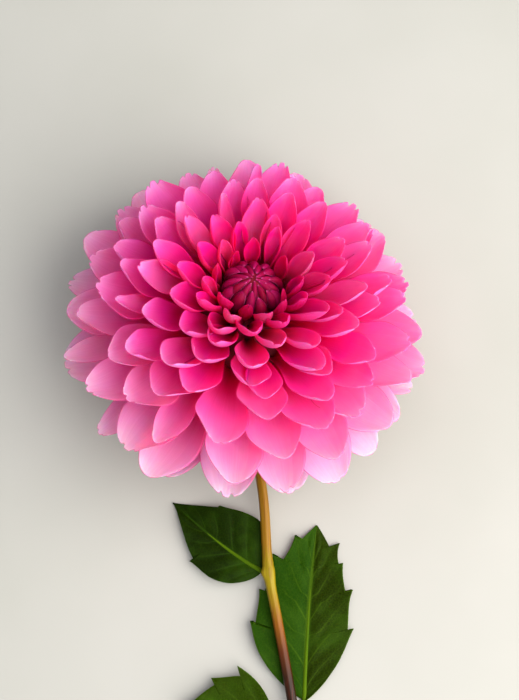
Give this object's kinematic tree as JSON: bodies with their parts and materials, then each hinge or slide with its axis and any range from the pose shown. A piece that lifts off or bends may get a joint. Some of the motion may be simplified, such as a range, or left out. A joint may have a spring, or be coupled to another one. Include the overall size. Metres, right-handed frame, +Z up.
{
  "type": "dahlia flower",
  "caption": "Cut dahlia lying on its back petals: layered cupped ray petals round a closed heart, green calyx, bent stem and toothed leaves.",
  "frame": {"origin": "middle of the flower's outline on the surface that it lies on", "axes": "+Z up off the surface; the stem runs along -Y and the head lies towards +Y"},
  "size_m": [0.1528, 0.2724, 0.0903],
  "materials": {
    "pink_petal": "soft satin petal, crimson at the base and pale pink at the edge",
    "magenta_floret": "closed satin florets, dark magenta",
    "green_bract": "matt fleshy green bract",
    "brown_green_stem": "smooth waxy stem, golden brown, yellow-green at its nodes",
    "leaf_green": "satin dark green leaf"
  },
  "bodies": {
    "root": {"bloom": "pink_petal", "heart": "magenta_floret", "calyx": "green_bract", "stem": "brown_green_stem", "leaf_upper": "leaf_green", "leaf_right": "leaf_green", "leaf_left": "leaf_green"}
  },
  "joints": []
}
